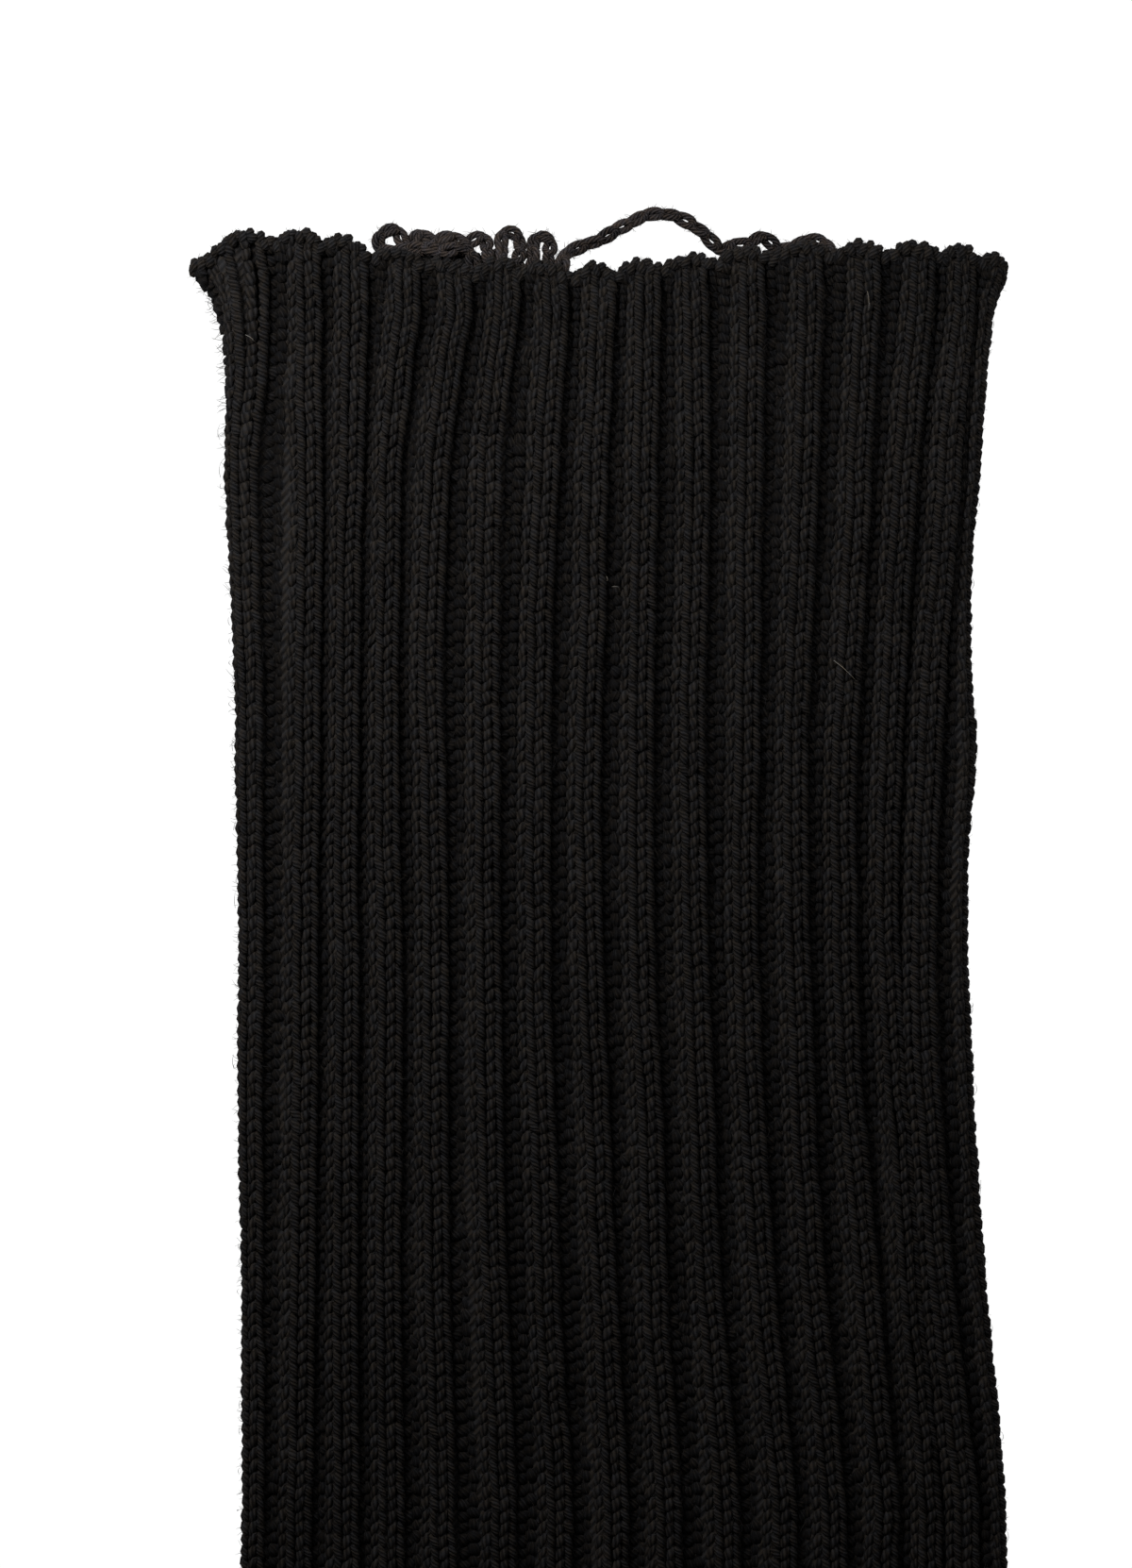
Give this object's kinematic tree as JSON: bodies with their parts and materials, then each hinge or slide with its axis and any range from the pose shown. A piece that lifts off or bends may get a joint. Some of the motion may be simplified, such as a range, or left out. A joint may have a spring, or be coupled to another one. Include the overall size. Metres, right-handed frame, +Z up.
{
  "type": "leg warmer",
  "caption": "Knitted leg warmer in two-and-two rib, a soft open-ended tube lying flat, with a slack crocheted chain at its top edge.",
  "frame": {"origin": "on the surface that the leg warmer lies on, under the middle of the box round the knitted tube", "axes": "+X across the leg to the right, +Y along the leg to the top edge with the chain, +Z up from the surface"},
  "size_m": [0.1798, 0.4659, 0.0131],
  "materials": {
    "rib_knit": "matt black wool yarn, hand-knitted in two-and-two rib",
    "chain_yarn": "matt black wool yarn, crocheted into a chain"
  },
  "bodies": {
    "root": {"leg_tube": "rib_knit", "chain_cord": "chain_yarn"}
  },
  "joints": []
}
